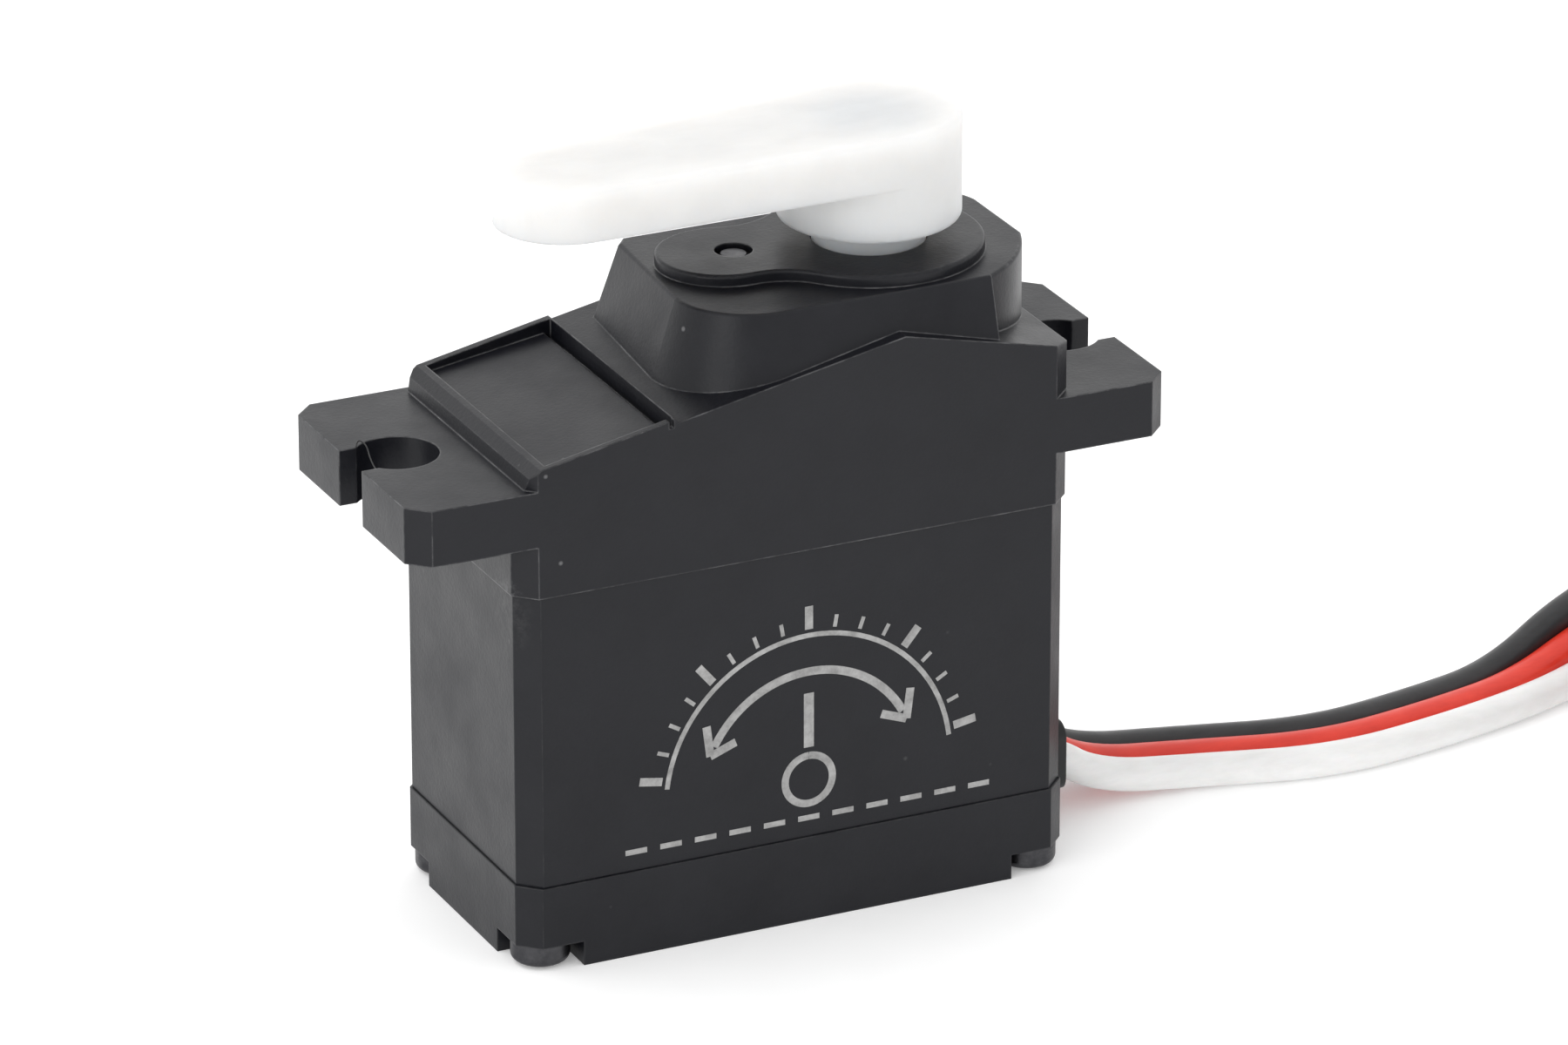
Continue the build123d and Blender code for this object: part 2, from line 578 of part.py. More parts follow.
def lead_coil():
    """The outer shape of the coiled ribbon: a ring, the stub that the lead enters by, and the rise
    on top from which it goes on to the plug."""
    margin = WIRE_R + 0.03
    body = ring(COIL, COIL_Z0, COIL_Z1, COIL_START_R + margin, COIL_END_R - margin)
    entry = Pos(LEAD[-1][0], LEAD[-1][1], 0) * Rot(0, 0, direction(LEAD[-2], LEAD[-1]))
    room = ring(COIL, COIL_Z0 - 1, COIL_Z1 + 1, COIL_START_R + 2, COIL_START_R - WIRE_R)
    body -= room & entry * block(-9, 0, -3.5, 2, COIL_Z0 - 2, COIL_Z1 + 2)
    body += entry * block(0, 2.6, -margin, margin, COIL_Z0, COIL_Z1)
    rise = ring(COIL, COIL_Z1 - 0.5, TAIL_Z + WIRE_R, COIL_START_R + 0.9, COIL_END_R - 0.75)
    x, y = COIL
    return body + (rise & block(x, x + 20, y + 1.9, y + 6.0, 0, 20))


def lead_tie():
    """A flat band pulled tight round the coil and the plug, with its twisted ends."""
    x = COIL[0] - TIE_BACK
    plug_y = COIL[1] - TAIL_R
    top = PLUG_Z1 + TIE_GAP
    bottom = TIE_FOOT + TIE_THICK
    outline = [
        (plug_y - PLUG_HALF - TIE_GAP, top),
        (plug_y - PLUG_HALF - TIE_GAP, PLUG_Z0 - TIE_GAP),
        (COIL[1] - TIE_COIL_FAR, bottom),
        (COIL[1] - TIE_COIL_NEAR, bottom),
        (COIL[1] - TIE_COIL_NEAR, PLUG_Z0 - TIE_GAP),
        (plug_y + PLUG_HALF + TIE_GAP, top),
    ]
    inside = make_face(Polyline(*outline, close=True))
    section = offset(inside, TIE_THICK) - inside
    band = Pos(x, 0, 0) * (Plane.YZ * extrude(section, amount=TIE_WIDTH / 2, both=True))
    twist = Pos(x, plug_y + TIE_TWIST_Y, PLUG_Z1 + TIE_TWIST_Z) * Cylinder(TIE_TWIST_R, TIE_TWIST_LENGTH)
    return band + twist


def plug_housing():
    x1 = COIL[0] + PLUG_BACK
    x0 = x1 - PLUG_LENGTH
    y = COIL[1] - TAIL_R
    body = block(x0, x1, y - PLUG_HALF, y + PLUG_HALF, PLUG_Z0, PLUG_Z1)
    body = chamfer(body.edges().filter_by(Axis.X), 0.2)
    middle = (PLUG_Z0 + PLUG_Z1) / 2
    for k in (-1, 0, 1):
        pin = y + 2.54 * k
        body -= block(x0 - 1, x0 + 8.5, pin - 0.45, pin + 0.45, middle - 0.45, middle + 0.45)
        body -= block(x0 + 5.2, x0 + 7.4, pin - 0.6, pin + 0.6, middle, PLUG_Z1 + 1)
    return body


def plug_contact(k):
    """A box contact with a square hole, in the front of its cavity."""
    x0 = COIL[0] + PLUG_BACK - PLUG_LENGTH
    pin, middle = COIL[1] - TAIL_R + 2.54 * k, (PLUG_Z0 + PLUG_Z1) / 2
    outer = block(x0 + 0.8, x0 + 8.4, pin - 0.44, pin + 0.44, middle - 0.44, middle + 0.44)
    return outer - block(x0, x0 + 7.0, pin - 0.33, pin + 0.33, middle - 0.33, middle + 0.33)


def lead_grommet():
    """The moulded bush that holds the ribbon in the end wall."""
    plug = block(CASE_X1 - WALL - 0.3, CASE_X1, -2.25, 2.25, 2.3, 4.0)
    flange = block(CASE_X1, GROMMET_X, -4.0, 4.0, 2.3, 5.15)
    bush = plug + fillet(flange.edges().filter_by(Axis.X), 0.6)
    slot = block(9, 14, -WIRE_PITCH, WIRE_PITCH, WIRE_Z - WIRE_R, WIRE_Z + WIRE_R)
    for side in (-1, 1):
        slot += Pos(11.5, side * WIRE_PITCH, WIRE_Z) * Rot(0, 90, 0) * Cylinder(WIRE_R, 5)
    return bush - slot


# ---- write every sub-part ----
save("upper_case", upper_case())
save("middle_case", middle_case())
save("bottom_cover", bottom_cover())
save("case_screws", *at_corners(case_screw))
save("idler_pin", rod(IDLER, DECK_Z0 + 0.2, PIN_TOP, PIN_R))

save("output_gear", output_gear())
save("gear_1", gear_1())
save("gear_2", gear_2())
save("gear_3", gear_3())
save("servo_horn", servo_horn())

save("motor_can", motor_can())
save("motor_end_cap", motor_end_cap())
save("motor_magnets", motor_magnet(0), motor_magnet(180))
save("motor_shaft", rod(MOTOR, 3.45, 17.2, MOTOR_SHAFT_R))
save("motor_armature", motor_armature())
save("motor_windings", *[motor_winding(angle) for angle in POLES])
save("motor_commutator", motor_commutator())
save("motor_brushes", motor_brush(-1), motor_brush(1))
save("motor_terminals", motor_terminal(-1), motor_terminal(1))
save("motor_pinion", motor_pinion())

save("sensor_body", sensor_body())
save("sensor_track", sensor_track())
save("sensor_rotor", sensor_rotor())
save("sensor_wiper", sensor_wiper())
save("sensor_wires", *[sensor_wire(y) for y in (-1.6, 0.1, 1.6)])

save("circuit_board", circuit_board())
save("controller_chip", chip(1.9, -1.6, 3.2, 2.8, 0.9, 5))
save("driver_chips", chip(-6.9, -3.2, 2.2, 1.2, 0.75, 3), chip(-6.9, 3.2, 2.2, 1.2, 0.75, 3))
save("capacitors", *[capacitor(place) for place in ((-1.0, 3.6), (-1.0, -3.6), (1.6, 3.6))])
save("solder_joints", *[solder_joint(side * WIRE_PITCH) for side in (-1, 0, 1)])

save("lead_grommet", lead_grommet())
for colour, side in (("white", -1), ("red", 0), ("black", 1)):
    save(f"lead_{colour}", tube(beside(LEAD, LEAD_TWIST, side), WIRE_R, f"lead_{colour}"))
    save(f"tail_{colour}", tube(tail_route(side), WIRE_R, f"tail_{colour}"))
save("lead_coil", lead_coil())
save("lead_tie", lead_tie())
save("plug_housing", plug_housing())
save("plug_contacts", *[plug_contact(k) for k in (-1, 0, 1)])
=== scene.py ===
import math

import bpy
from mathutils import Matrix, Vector


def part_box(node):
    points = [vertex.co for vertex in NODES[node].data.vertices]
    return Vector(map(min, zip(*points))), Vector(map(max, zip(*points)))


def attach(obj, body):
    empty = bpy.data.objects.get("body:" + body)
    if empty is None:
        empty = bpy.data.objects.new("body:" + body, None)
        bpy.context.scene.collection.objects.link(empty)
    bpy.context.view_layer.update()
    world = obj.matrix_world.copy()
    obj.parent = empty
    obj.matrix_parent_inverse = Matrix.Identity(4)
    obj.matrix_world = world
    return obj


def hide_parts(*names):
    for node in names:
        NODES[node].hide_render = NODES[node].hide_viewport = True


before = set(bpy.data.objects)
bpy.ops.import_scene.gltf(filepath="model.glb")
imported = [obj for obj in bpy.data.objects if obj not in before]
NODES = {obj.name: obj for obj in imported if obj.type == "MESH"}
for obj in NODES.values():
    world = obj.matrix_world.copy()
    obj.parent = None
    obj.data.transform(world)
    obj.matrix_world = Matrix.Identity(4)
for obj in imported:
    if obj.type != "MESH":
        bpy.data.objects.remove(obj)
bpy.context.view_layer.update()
MM = 0.001


# ---------------------------------------------------------------- camera
AZIMUTH, ELEVATION = math.radians(25.387), math.radians(22.872)
DISTANCE, AIM = 0.3662, Vector((0.002184, 0.0, 0.014046))
LENS, SENSOR = 218.8, 36.0


def make_camera():
    data = bpy.data.cameras.new("camera")
    data.lens, data.sensor_width = LENS, SENSOR
    data.clip_start, data.clip_end = 0.01, 5.0
    camera = bpy.data.objects.new("camera", data)
    away = Vector((
        -math.sin(AZIMUTH) * math.cos(ELEVATION),
        -math.cos(AZIMUTH) * math.cos(ELEVATION),
        math.sin(ELEVATION),
    ))
    camera.location = AIM + away * DISTANCE
    camera.rotation_euler = (-away).to_track_quat("-Z", "Y").to_euler()
    bpy.context.scene.collection.objects.link(camera)
    bpy.context.scene.camera = camera


# ---------------------------------------------------------------- the lead, in millimetres
WIRE_R, WIRE_PITCH = 0.675, 1.38
LEAD = [
    (9.9, 0.0, 3.15), (12.7, 0.0, 3.15), (15.1, 0.0, 1.35), (20.0, 0.1, 0.705), (25.2, -1.4, 0.705),
    (30.4, -0.65, 0.705), (35.2, 0.55, 0.705), (38.9, 1.72, 1.776), (42.14, 2.76, 2.36),
    (44.98, 3.74, 2.36),
]
LEAD_TWIST = [0, 0, 0, 0, 0, 0, 0, 45, 90, 90]
COIL = (49.2, -3.9)
COIL_START_R, COIL_END_R, COIL_START, COIL_END = 8.6, 5.61, 109.0, 60.0
COIL_TURNS, TURN_STEPS, COIL_MIDDLE_Z = 2, 16, 2.36
COIL_RISE = ((0.35, 46), (0.75, 31), (1.0, 18))     # share of the way up to the tail, at this angle
TAIL_R, TAIL_Z, PLUG_BACK = 7.15, 5.15, -0.7
TAIL_START_Y, PLUG_RISE = 1.9, 0.62
TAIL_BEND = ((-15, 0.0), (-45, 0.3), (-75, PLUG_RISE))      # angle, and height above the tail's start
TAIL_STEP = 30                      # between the bend's places, in degrees
CURVE_ORDER = 3


def beside(route, twists, side):
    """The route of the conductor on one side (-1, 0 or 1) of the middle one. A twist of 0 has the
    ribbon flat, and a twist of 90 has it on edge with the +1 side up."""
    moved = []
    last = len(route) - 1
    for i, (x, y, z) in enumerate(route):
        a, b = route[max(i - 1, 0)], route[min(i, last - 1)]
        c, d = route[max(i, 1)], route[min(i + 1, last)]
        into = math.atan2(c[1] - a[1], c[0] - a[0]) if i > 0 else math.atan2(d[1] - y, d[0] - x)
        away = math.atan2(d[1] - b[1], d[0] - b[0]) if i < last else into
        heading, half = (into + away) / 2, (away - into) / 2
        across = side * WIRE_PITCH * math.cos(math.radians(twists[i])) / math.cos(half)
        up = side * WIRE_PITCH * math.sin(math.radians(twists[i]))
        moved.append((x - across * math.sin(heading), y + across * math.cos(heading), z + up))
    return moved


def coil_turns(side):
    """The coiled stretch: the ribbon on edge winds inwards and clockwise, and then rises and lies
    down flat on top of the coil."""
    wound = 360 * COIL_TURNS + COIL_START - COIL_END
    steps = round(TURN_STEPS * wound / 360)
    z = COIL_MIDDLE_Z + side * WIRE_PITCH
    turns = []
    for k in range(1, steps + 1):
        share = k / steps
        angle = math.radians(COIL_START - share * wound)
        r = COIL_START_R + share * (COIL_END_R - COIL_START_R)
        turns.append((COIL[0] + r * math.cos(angle), COIL[1] + r * math.sin(angle), z))
    for share, angle in COIL_RISE:
        lie = math.radians(90 * (1 - share))
        middle_r = COIL_END_R + share * (TAIL_R - COIL_END_R)
        middle_z = COIL_MIDDLE_Z + share * (TAIL_Z - COIL_MIDDLE_Z)
        r = middle_r + side * WIRE_PITCH * math.cos(lie)
        a = math.radians(angle)
        turns.append((COIL[0] + r * math.cos(a), COIL[1] + r * math.sin(a),
                      middle_z + side * WIRE_PITCH * math.sin(lie)))
    return turns


def tail_route(side):
    """One conductor from the coil's top to the plug, a quarter turn clockwise."""
    r = TAIL_R + side * WIRE_PITCH
    x, y = COIL
    corner_r = r / math.cos(math.radians(TAIL_STEP / 2))
    route = [(x + r, y + TAIL_START_Y, TAIL_Z)]
    for angle, rise in TAIL_BEND:
        a = math.radians(angle)
        route.append((x + corner_r * math.cos(a), y + corner_r * math.sin(a), TAIL_Z + rise))
    return route + [(x + PLUG_BACK, y - TAIL_R - side * WIRE_PITCH, TAIL_Z + PLUG_RISE)]


def strand(name, points, radius, finish):
    """A smooth round strand along a route, both in millimetres."""
    curve = bpy.data.curves.new(name, "CURVE")
    curve.dimensions, curve.bevel_depth, curve.use_fill_caps = "3D", radius * MM, True
    line = curve.splines.new("NURBS")
    line.points.add(len(points) - 1)
    for point, (x, y, z) in zip(line.points, points):
        point.co = (x * MM, y * MM, z * MM, 1)
    line.order_u = CURVE_ORDER
    line.use_endpoint_u = True
    made = bpy.data.objects.new(name, curve)
    bpy.context.scene.collection.objects.link(made)
    curve.materials.append(finish)
    return made


def conductor(name, side, finish):
    points = beside(LEAD, LEAD_TWIST, side) + coil_turns(side) + tail_route(side)
    wire = strand(name, points, WIRE_R, finish)
    wire.data.bevel_resolution, wire.data.resolution_u = 6, 10
    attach(wire, "case")
    return wire


# ---------------------------------------------------------------- finishes
PLASTIC_IOR = 1.35
WAVE_PHASE = 20     # radians per unit of length, in the wave texture at scale 1


class Finish:
    """A procedural material on a Principled shader. Texture sizes are in millimetres."""

    def __init__(self, name, **sockets):
        self.material = bpy.data.materials.new(name)
        self.material.use_nodes = True
        self.nodes, self.links = self.material.node_tree.nodes, self.material.node_tree.links
        self.shader = self.nodes["Principled BSDF"]
        for socket, value in sockets.items():
            self.shader.inputs[socket.replace("_", " ")].default_value = value
        self.place = self.nodes.new("ShaderNodeTexCoord").outputs["Object"]

    def stretched(self, x, y, z):
        """Object coordinates, stretched by these factors."""
        mapping = self.nodes.new("ShaderNodeMapping")
        mapping.inputs["Scale"].default_value = (x, y, z)
        self.links.new(self.place, mapping.inputs["Vector"])
        return mapping.outputs["Vector"]

    def noise(self, size_mm, detail=3.0, rough=0.55, place=None):
        node = self.nodes.new("ShaderNodeTexNoise")
        node.inputs["Scale"].default_value = 1 / (size_mm * MM)
        node.inputs["Detail"].default_value = detail
        node.inputs["Roughness"].default_value = rough
        self.links.new(place or self.place, node.inputs["Vector"])
        return node.outputs["Fac"]

    def cells(self, size_mm, place=None):
        node = self.nodes.new("ShaderNodeTexVoronoi")
        node.inputs["Scale"].default_value = 1 / (size_mm * MM)
        self.links.new(place or self.place, node.inputs["Vector"])
        return node.outputs["Distance"]

    def waves(self, size_mm, direction="Z", distortion=0.4):
        """Waves, each two sizes long."""
        node = self.nodes.new("ShaderNodeTexWave")
        node.bands_direction = direction
        node.inputs["Scale"].default_value = 1 / (size_mm * MM * WAVE_PHASE / math.tau * 2)
        node.inputs["Distortion"].default_value = distortion
        self.links.new(self.place, node.inputs["Vector"])
        return node.outputs["Fac"]

    def spread(self, source, low, high, start=0.3, end=0.7):
        """source's stretch from start to end, mapped to low to high."""
        node = self.nodes.new("ShaderNodeMapRange")
        values = (start, end, low, high)
        for socket, value in zip(("From Min", "From Max", "To Min", "To Max"), values):
            node.inputs[socket].default_value = value
        self.links.new(source, node.inputs["Value"])
        return node.outputs["Result"]

    def mix(self, factor, colour_a, colour_b):
        node = self.nodes.new("ShaderNodeMix")
        node.data_type = "RGBA"
        for socket, kind, value in (
            ("Factor", "VALUE", factor), ("A", "RGBA", colour_a), ("B", "RGBA", colour_b),
        ):
            target = next(s for s in node.inputs if s.name == socket and s.enabled and s.type == kind)
            if isinstance(value, tuple):
                target.default_value = (*value, 1)
            else:
                self.links.new(value, target)
        return next(s for s in node.outputs if s.type == "RGBA" and s.enabled)

    def edges(self, radius_mm):
        """The normal with its edges rounded, and how near a place is to an edge, from 0 to 1."""
        bevel = self.nodes.new("ShaderNodeBevel")
        bevel.samples = 6
        bevel.inputs["Radius"].default_value = radius_mm * MM
        geometry = self.nodes.new("ShaderNodeNewGeometry")
        dot = self.nodes.new("ShaderNodeVectorMath")
        dot.operation = "DOT_PRODUCT"
        self.links.new(bevel.outputs["Normal"], dot.inputs[0])
        self.links.new(geometry.outputs["Normal"], dot.inputs[1])
        return bevel.outputs["Normal"], self.spread(dot.outputs["Value"], 1.0, 0.0, 0.86, 0.995)

    def product(self, a, b):
        node = self.nodes.new("ShaderNodeMath")
        node.operation = "MULTIPLY"
        self.links.new(a, node.inputs[0])
        self.links.new(b, node.inputs[1])
        return node.outputs[0]

    def near(self, place_mm, inner_mm, outer_mm):
        """1 within inner_mm of a place, falling to 0 at outer_mm."""
        node = self.nodes.new("ShaderNodeVectorMath")
        node.operation = "DISTANCE"
        node.inputs[1].default_value = [c * MM for c in place_mm]
        self.links.new(self.place, node.inputs[0])
        return self.spread(node.outputs["Value"], 1.0, 0.0, inner_mm * MM, outer_mm * MM)

    def bump(self, height, depth_mm, normal=None):
        node = self.nodes.new("ShaderNodeBump")
        node.inputs["Distance"].default_value = depth_mm * MM
        node.inputs["Strength"].default_value = 1.0
        self.links.new(height, node.inputs["Height"])
        if normal:
            self.links.new(normal, node.inputs["Normal"])
        return node.outputs["Normal"]

    def use(self, colour=None, roughness=None, normal=None):
        sources = {"Base Color": colour, "Roughness": roughness, "Normal": normal}
        for socket, source in sources.items():
            if source:
                self.links.new(source, self.shader.inputs[socket])
        return self.material


SCUFF = (-12.5, -4.5, 14.5)     # just outside the plain end where it is rubbed, in millimetres


def moulded(name, dark, light, pale_highlight_and_wear, grain_mm=0.09, depth=0.006, gloss=(0.31, 0.45), radius=0.1):
    """Spark-textured black plastic: fine grain, cloudy sheen, a painted highlight that makes the edges
    paler in patches, one scuffed corner and a few specks of dust."""
    f = Finish(name, IOR=PLASTIC_IOR)
    cloud = f.noise(3.2, 4, 0.6)
    normal, edge = f.edges(radius)
    # painted highlight: the edges are painted paler in patches, where light would catch them
    edge_highlight = f.product(edge, f.spread(f.noise(1.1, 5, 0.7), 0.2, 1.0, 0.42, 0.64))
    scuff = f.product(f.near(SCUFF, 1.2, 2.1), f.spread(f.noise(0.5, 6, 0.8), 0.0, 0.5, 0.45, 0.6))
    dust = f.spread(f.cells(2.6), 0.7, 0.0, 0.02, 0.045)
    colour = f.mix(f.spread(cloud, 0, 1), dark, light)
    # mixes in the pale colour: the painted edge highlight, the scuffed wear and the dust
    for amount in (edge_highlight, scuff, dust):
        colour = f.mix(amount, colour, pale_highlight_and_wear)
    normal = f.bump(f.noise(grain_mm, 2.5, 0.7), depth, normal)
    normal = f.bump(f.cells(grain_mm * 2.2), depth * 0.6, normal)
    return f.use(colour, f.spread(cloud, *gloss), normal)


def nylon(name, shade, warm):
    """White moulded nylon: slightly translucent, silky, with faint flow marks."""
    f = Finish(name, IOR=1.4, Subsurface_Weight=1.0, Subsurface_Scale=0.0035)
    f.shader.inputs["Subsurface Radius"].default_value = (1.0, 0.9, 0.8)
    flow = f.noise(2.4, 4, 0.5, f.stretched(1, 2.2, 1))
    normal, _ = f.edges(0.16)
    normal = f.bump(f.noise(0.22, 3, 0.6), 0.004, normal)
    colour = f.mix(f.spread(flow, 0, 1), shade, warm)
    return f.use(colour, f.spread(f.noise(0.9, 3, 0.6), 0.36, 0.5), normal)


def insulation(name, shade, deep, gloss=(0.3, 0.44)):
    """Soft vinyl on a conductor, with a faint lengthwise drag and slight dents."""
    f = Finish(name, IOR=1.48, Subsurface_Weight=0.08, Subsurface_Scale=0.0006)
    drag = f.noise(0.5, 4, 0.65, f.stretched(0.25, 1, 1))
    colour = f.mix(f.spread(drag, 0, 1), shade, deep)
    normal = f.bump(f.noise(0.16, 3, 0.6), 0.004)
    normal = f.bump(f.noise(1.6, 2, 0.5), 0.02, normal)
    return f.use(colour, f.spread(f.noise(0.8, 4, 0.6), *gloss), normal)


def metal(name, bright, dull, gloss=(0.22, 0.42), lathe_mm=0.07, depth=0.002):
    """Turned metal: fine rings, and cloudy patches of tarnish."""
    f = Finish(name, Metallic=1.0)
    tarnish = f.noise(0.8, 5, 0.65)
    normal, _ = f.edges(0.05)
    normal = f.bump(f.waves(lathe_mm, "Z", 0.8), depth, normal)
    normal = f.bump(f.noise(0.05, 3, 0.7), depth, normal)
    return f.use(f.mix(f.spread(tarnish, 0, 1), bright, dull), f.spread(tarnish, *gloss), normal)


def sintered(name):
    f = Finish(name, Metallic=0.4)
    colour = f.mix(f.spread(f.noise(0.2, 5, 0.7), 0, 1), (0.03, 0.03, 0.034), (0.07, 0.07, 0.075))
    return f.use(colour, f.spread(f.noise(0.4, 3), 0.5, 0.7), f.bump(f.cells(0.12), 0.01))


def enamelled_wire(name):
    f = Finish(name, Metallic=0.9, Coat_Weight=0.6, Coat_Roughness=0.15)
    strands = f.waves(0.16, "Z", 0.3)
    colour = f.mix(f.spread(strands, 0, 1, 0.1, 0.9), (0.36, 0.12, 0.045), (0.72, 0.32, 0.13))
    return f.use(colour, f.spread(f.noise(0.5), 0.2, 0.34), f.bump(strands, 0.03))


def laminated(name):
    f = Finish(name, Metallic=0.95)
    plates = f.waves(0.35, "Z", 0.05)
    colour = f.mix(f.spread(plates, 0, 1, 0.2, 0.5), (0.1, 0.1, 0.11), (0.36, 0.36, 0.38))
    return f.use(colour, f.spread(f.noise(0.4), 0.35, 0.5), f.bump(plates, 0.02))


def solder_mask(name):
    f = Finish(name, Coat_Weight=0.5, Coat_Roughness=0.12)
    tracks = f.cells(1.6, f.stretched(1, 1.7, 1))
    colour = f.mix(f.spread(tracks, 0, 1, 0.42, 0.46), (0.012, 0.09, 0.04), (0.02, 0.16, 0.07))
    return f.use(colour, f.spread(f.noise(0.7), 0.28, 0.42), f.bump(tracks, 0.012))


def ceramic(name):
    f = Finish(name)
    colour = f.mix(f.spread(f.noise(0.15, 4), 0, 1), (0.32, 0.2, 0.1), (0.45, 0.3, 0.17))
    return f.use(colour, f.spread(f.noise(0.3), 0.35, 0.55), f.bump(f.noise(0.06, 3, 0.7), 0.006))


def etched(name):
    """Laser-etched marking: the plastic foamed pale, with the beam's fine hatching."""
    f = Finish(name, IOR=1.4)
    hatch = f.waves(0.11, "DIAGONAL", 0.6)
    blotch = f.noise(0.5, 5, 0.7)
    colour = f.mix(f.spread(blotch, 0, 1), (0.22, 0.218, 0.215), (0.42, 0.418, 0.415))
    return f.use(colour, f.spread(blotch, 0.55, 0.8), f.bump(hatch, 0.01))


# ---------------------------------------------------------------- the room
FLOOR_SIZE = 3.0
FRONT_LIGHT, BACK_LIGHT = 0.9, 1.3
LIGHT_SPAN = 0.8                    # how far forward and back the room's light changes
KEY_POWER, FILL_POWER = 0.8, 0.8


def make_room():
    mesh = bpy.data.meshes.new("floor")
    h = FLOOR_SIZE / 2
    mesh.from_pydata([(-h, -h, 0), (h, -h, 0), (h, h, 0), (-h, h, 0)], [], [(0, 1, 2, 3)])
    floor = bpy.data.objects.new("floor", mesh)
    bpy.context.scene.collection.objects.link(floor)
    f = Finish("floor_paint", IOR=1.3, Emission_Color=(1, 1, 1, 1), Emission_Strength=0.2)
    paper = f.noise(2.0, 4, 0.6)
    colour = f.mix(f.spread(paper, 0, 1), (0.93, 0.93, 0.93), (0.95, 0.95, 0.95))
    mesh.materials.append(f.use(colour, f.spread(paper, 0.75, 0.9)))


def make_light():
    """A bright room: white behind and above the object, and dimmer on the camera's side."""
    world = bpy.data.worlds.new("world")
    world.use_nodes = True
    bpy.context.scene.world = world
    nodes, links = world.node_tree.nodes, world.node_tree.links
    place = nodes.new("ShaderNodeTexCoord").outputs["Generated"]
    split = nodes.new("ShaderNodeSeparateXYZ")
    links.new(place, split.inputs[0])
    span = nodes.new("ShaderNodeMapRange")
    for socket, value in (
        ("From Min", -LIGHT_SPAN), ("From Max", LIGHT_SPAN), ("To Min", FRONT_LIGHT), ("To Max", BACK_LIGHT),
    ):
        span.inputs[socket].default_value = value
    links.new(split.outputs["Y"], span.inputs["Value"])
    links.new(span.outputs["Result"], nodes["Background"].inputs["Strength"])
    nodes["Background"].inputs["Color"].default_value = (1, 1, 1, 1)

    for name, place, size, power, aim in (
        ("key", (-0.35, 0.10, 0.75), 0.45, KEY_POWER, (0, 0, 0.01)),
        ("fill", (-0.55, -0.35, 0.25), 0.4, FILL_POWER, (0, 0, 0.012)),
    ):
        data = bpy.data.lights.new(name, "AREA")
        data.shape, data.size, data.energy = "DISK", size, power
        light = bpy.data.objects.new(name, data)
        light.location = place
        light.rotation_euler = (Vector(place) - Vector(aim)).to_track_quat("Z", "Y").to_euler()
        bpy.context.scene.collection.objects.link(light)
    bpy.context.scene.view_settings.view_transform = "Standard"


# ---------------------------------------------------------------- details
MARK_CENTRE = (0.5, 5.9)            # of the travel scale on the front, as (x, z)
MARK_PROUD, MARK_SUNK, MARK_STEP = 0.012, 0.01, 0.004
SCALE_R, SWEEP_R, HUB_R, HAND = 6.0, 4.5, 1.0, 3.6
TICK_STEP, TICK_SPAN, MAJOR_EVERY = 10, 80, 4
ARROW, SWEEP_SPAN = 0.75, 62
DASHES, DASH, DASH_STEP, DASH_Z = 11, 0.9, 1.45, 4.3
SCALE_WIDTH, SWEEP_WIDTH, HUB_WIDTH, HAND_WIDTH, DASH_WIDTH = 0.2, 0.34, 0.3, 0.42, 0.22
MAJOR_TICK, MINOR_TICK = (0.95, 0.34), (0.5, 0.16)      # length and width
TICK_GAP, HAND_GAP, SCALE_PAST = 0.25, 0.35, 3
ARROW_TIP, ARROW_BACK = 5, 7        # from the sweep's end, in degrees


def on_circle(radius, angle):
    """A place on the scale, by its angle from straight up, in degrees clockwise."""
    a = math.radians(angle)
    return (MARK_CENTRE[0] + radius * math.sin(a), MARK_CENTRE[1] + radius * math.cos(a))


def arc(radius, start, end, steps=40):
    return [on_circle(radius, start + (end - start) * k / steps) for k in range(steps + 1)]


def travel_scale():
    """The strokes of a plain rotary-travel scale, each a line of (x, z) places, its width, and how
    many steps it stands above the strokes that it crosses."""
    strokes = [
        (arc(SCALE_R, -TICK_SPAN - SCALE_PAST, TICK_SPAN + SCALE_PAST), SCALE_WIDTH, 0),
        (arc(SWEEP_R, -SWEEP_SPAN, SWEEP_SPAN), SWEEP_WIDTH, 0),
        (arc(HUB_R, 0, 360), HUB_WIDTH, 0),
        ([on_circle(HUB_R + HAND_GAP, 0), on_circle(HAND, 0)], HAND_WIDTH, 0),
    ]
    for k in range(-TICK_SPAN // TICK_STEP, TICK_SPAN // TICK_STEP + 1):
        reach, width = MAJOR_TICK if k % MAJOR_EVERY == 0 else MINOR_TICK
        foot = SCALE_R + TICK_GAP
        angle = k * TICK_STEP
        strokes.append(([on_circle(foot, angle), on_circle(foot + reach, angle)], width, 0))
    for side in (-1, 1):
        tip = on_circle(SWEEP_R, side * (SWEEP_SPAN + ARROW_TIP))
        for level, reach in ((1, -ARROW), (2, ARROW)):
            barb = on_circle(SWEEP_R + reach, side * (SWEEP_SPAN - ARROW_BACK))
            strokes.append(([barb, tip], SWEEP_WIDTH, level))
    for k in range(DASHES):
        x = MARK_CENTRE[0] + (k - (DASHES - 1) / 2) * DASH_STEP
        strokes.append(([(x - DASH / 2, DASH_Z), (x + DASH / 2, DASH_Z)], DASH_WIDTH, 0))
    return strokes


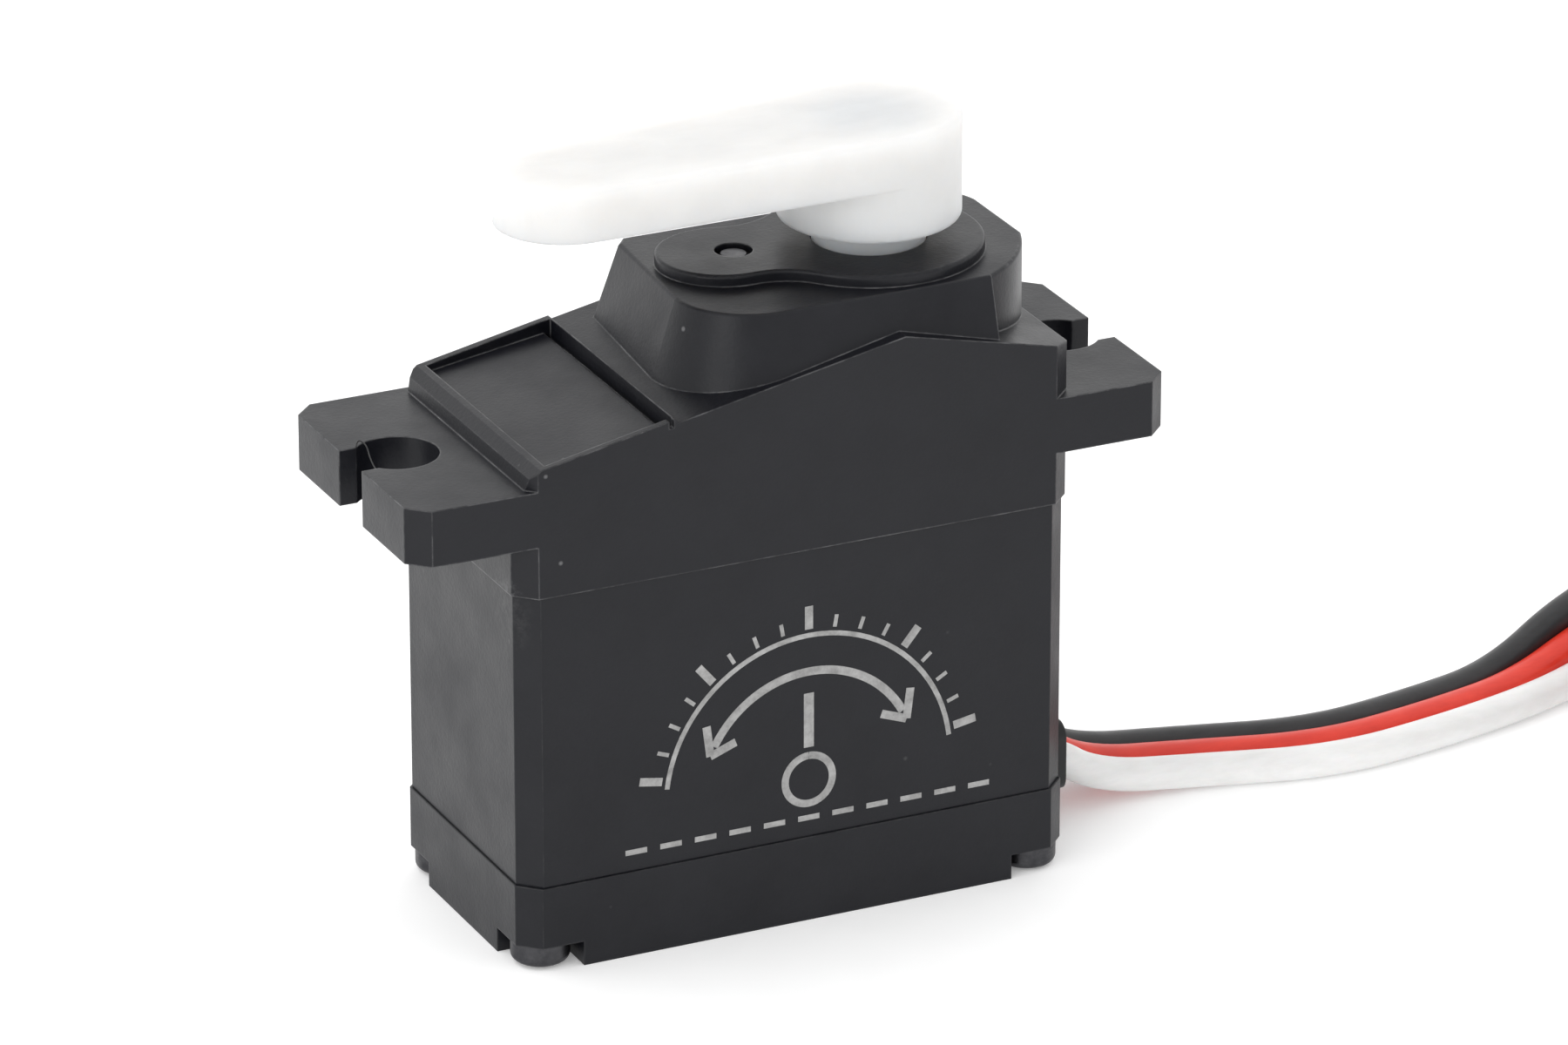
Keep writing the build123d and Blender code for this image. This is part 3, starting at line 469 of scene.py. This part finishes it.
def ribbon(line, width, y_out, y_in):
    """A flat closed bar along a line of (x, z) places, as corners and faces."""
    corners, faces = [], []
    for i, (x, z) in enumerate(line):
        (ax, az), (bx, bz) = line[max(i - 1, 0)], line[min(i + 1, len(line) - 1)]
        long = math.dist((ax, az), (bx, bz))
        nx, nz = -(bz - az) / long * width / 2, (bx - ax) / long * width / 2
        corners += [(x + nx, y_out, z + nz), (x - nx, y_out, z - nz)]
        corners += [(x - nx, y_in, z - nz), (x + nx, y_in, z + nz)]
    for i in range(len(line) - 1):
        a, b = 4 * i, 4 * i + 4
        faces += [(a + k, a + (k + 1) % 4, b + (k + 1) % 4, b + k) for k in range(4)]
    end = 4 * (len(line) - 1)
    return corners, faces + [(3, 2, 1, 0), (end, end + 1, end + 2, end + 3)]


def front_mark(finish):
    """The scale etched on the front of the middle case."""
    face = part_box("middle_case")[0][1] / MM
    corners, faces = [], []
    for line, width, level in travel_scale():
        more, sides = ribbon(line, width, face - MARK_PROUD - level * MARK_STEP, face + MARK_SUNK)
        faces += [tuple(len(corners) + k for k in side) for side in sides]
        corners += more
    mesh = bpy.data.meshes.new("front_scale")
    mesh.from_pydata([Vector(c) * MM for c in corners], [], faces)
    mesh.materials.append(finish)
    mark = bpy.data.objects.new("front_scale", mesh)
    bpy.context.scene.collection.objects.link(mark)
    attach(mark, "case")


FLASH = [
    (-15.15, 0.95, 19.9), (-14.95, 1.35, 20.05), (-14.75, 0.9, 19.95), (-14.95, 0.1, 19.7),
    (-15.0, -0.7, 19.45), (-14.6, -1.15, 19.2), (-14.15, -1.3, 19.15), (-13.85, -1.35, 19.5),
]
FLASH_R = 0.03


def mould_flash(finish):
    """A hair of flash left at the moulding line of the plain end's slot."""
    flash = strand("slot_flash", FLASH, FLASH_R, finish)
    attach(flash, "case")


def paint(node, finish):
    """Gives a CAD node its finish."""
    materials = NODES[node].data.materials
    materials.clear()
    materials.append(finish)


# ================================================================ build
make_camera()

RED = insulation("red_vinyl", (0.78, 0.045, 0.022), (0.66, 0.03, 0.015))
WHITE = insulation("white_vinyl", (0.86, 0.86, 0.855), (0.78, 0.78, 0.77))
BLACK = insulation("black_vinyl", (0.012, 0.012, 0.013), (0.024, 0.024, 0.026))

for colour, side, vinyl in (("white", -1, WHITE), ("red", 0, RED), ("black", 1, BLACK)):
    wire = conductor(f"conductor_{colour}", side, vinyl)
    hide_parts(f"lead_{colour}", f"tail_{colour}", *(["lead_coil"] if colour == "red" else []))

CASE_SHADES = (0.005, 0.0053, 0.008), (0.009, 0.0094, 0.0125)
# the pale colour is the painted edge highlight, and also the scuff and dust: the painted highlight is strong
# on the upper case and faint on the middle case, cover and trim
CASE = moulded("case_plastic", *CASE_SHADES, pale_highlight_and_wear=(0.17, 0.17, 0.175))
LOWER = moulded("lower_case_plastic", *CASE_SHADES, pale_highlight_and_wear=(0.045, 0.045, 0.047))
TRIM = moulded("trim_plastic", (0.012, 0.012, 0.013), (0.02, 0.02, 0.021), pale_highlight_and_wear=(0.07, 0.07, 0.07),
               grain_mm=0.06, depth=0.004)
NYLON = nylon("horn_nylon", (0.66, 0.66, 0.655), (0.7, 0.7, 0.694))
GEAR = nylon("gear_nylon", (0.8, 0.8, 0.78), (0.86, 0.86, 0.83))
STEEL = metal("ground_steel", (0.62, 0.62, 0.63), (0.45, 0.45, 0.46))
OXIDE = metal("black_oxide", (0.09, 0.09, 0.095), (0.045, 0.045, 0.05), (0.3, 0.5))
CAN = metal("plated_steel", (0.58, 0.57, 0.54), (0.42, 0.41, 0.39), (0.25, 0.4), 0.5, 0.003)
BRASS = metal("turned_brass", (0.72, 0.5, 0.2), (0.5, 0.33, 0.13))
SOLDER = metal("solder", (0.68, 0.68, 0.7), (0.4, 0.4, 0.42), (0.12, 0.34), 0.4, 0.006)

for nodes, finish in (
    (("upper_case",), CASE),
    (("middle_case", "bottom_cover"), LOWER),
    (("lead_grommet", "motor_end_cap", "sensor_body", "sensor_track", "controller_chip", "driver_chips",
      "plug_housing", "lead_tie"), TRIM),
    (("servo_horn",), NYLON),
    (("output_gear", "gear_1", "gear_2", "gear_3", "sensor_rotor"), GEAR),
    (("motor_shaft",), STEEL),
    (("case_screws", "idler_pin"), OXIDE),
    (("motor_can",), CAN),
    (("motor_pinion", "motor_brushes", "motor_terminals", "sensor_wiper", "plug_contacts"), BRASS),
    (("motor_magnets",), sintered("magnet")),
    (("motor_windings", "motor_commutator"), enamelled_wire("copper_wire")),
    (("motor_armature",), laminated("core_plates")),
    (("circuit_board",), solder_mask("board")),
    (("capacitors",), ceramic("ceramic_body")),
    (("solder_joints",), SOLDER),
    (("sensor_wires",), RED),
):
    for node in nodes:
        paint(node, finish)

front_mark(etched("laser_etch"))
mould_flash(TRIM)
make_room()
make_light()
